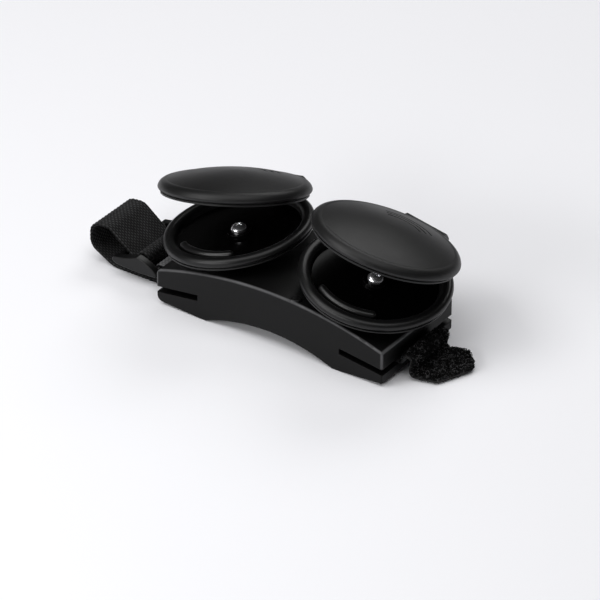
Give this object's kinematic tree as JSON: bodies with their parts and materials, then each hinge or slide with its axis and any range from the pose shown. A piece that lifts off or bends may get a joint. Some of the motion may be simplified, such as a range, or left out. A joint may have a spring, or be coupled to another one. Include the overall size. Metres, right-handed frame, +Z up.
{
  "type": "clicker trainer",
  "caption": "Strap-on clicker with sprung round lids that snap against shallow dishes on an arched base, held by an elastic and hook-and-loop strap.",
  "frame": {"origin": "midway between the two foot strips of the base, in the plane that they stand on", "axes": "+X along the base to the free tail, +Y to the hinges at the back, +Z up"},
  "size_m": [0.1546, 0.06, 0.052],
  "materials": {
    "base_plastic": "satin, lightly textured",
    "shell_plastic": "satin",
    "strike_plastic": "polished",
    "slide_plastic": "satin",
    "elastic": "woven",
    "pile_tape": "looped pile",
    "hook_tape": "hooked",
    "thread": "twisted thread",
    "screw_chrome": "polished",
    "pin_steel": "drawn",
    "spring_steel": "dark oiled",
    "insert_brass": "knurled"
  },
  "bodies": {
    "base": {"bar_tacks": "thread", "base": "base_plastic", "elastic_strap": "elastic", "grip_tail": "pile_tape", "hook_patch": "hook_tape", "left_dish": "shell_plastic", "left_dish_screw": "screw_chrome", "left_hinge_pin": "pin_steel", "left_return_spring": "spring_steel", "left_screw_insert": "insert_brass", "left_strike_bar": "strike_plastic", "right_dish": "shell_plastic", "right_dish_screw": "screw_chrome", "right_hinge_pin": "pin_steel", "right_return_spring": "spring_steel", "right_screw_insert": "insert_brass", "right_strike_bar": "strike_plastic", "slide_tether": "elastic", "strap_slide": "slide_plastic"},
    "left_lid": {"left_lid": "shell_plastic"},
    "right_lid": {"right_lid": "shell_plastic"}
  },
  "joints": [
    {"name": "left_lid_hinge", "type": "hinge", "parent": "base", "child": "left_lid", "pos_m": [-0.03006, 0.03219, 0.02967], "axis": [-0.9827, 0, -0.1854], "range_deg": [-20.4, 0], "stiffness_Nm_per_rad": 0.02, "springref_deg": 20.05},
    {"name": "right_lid_hinge", "type": "hinge", "parent": "base", "child": "right_lid", "pos_m": [0.03006, 0.03219, 0.02967], "axis": [-0.9827, 0, 0.1854], "range_deg": [-20.4, 0], "stiffness_Nm_per_rad": 0.02, "springref_deg": 20.05}
  ]
}
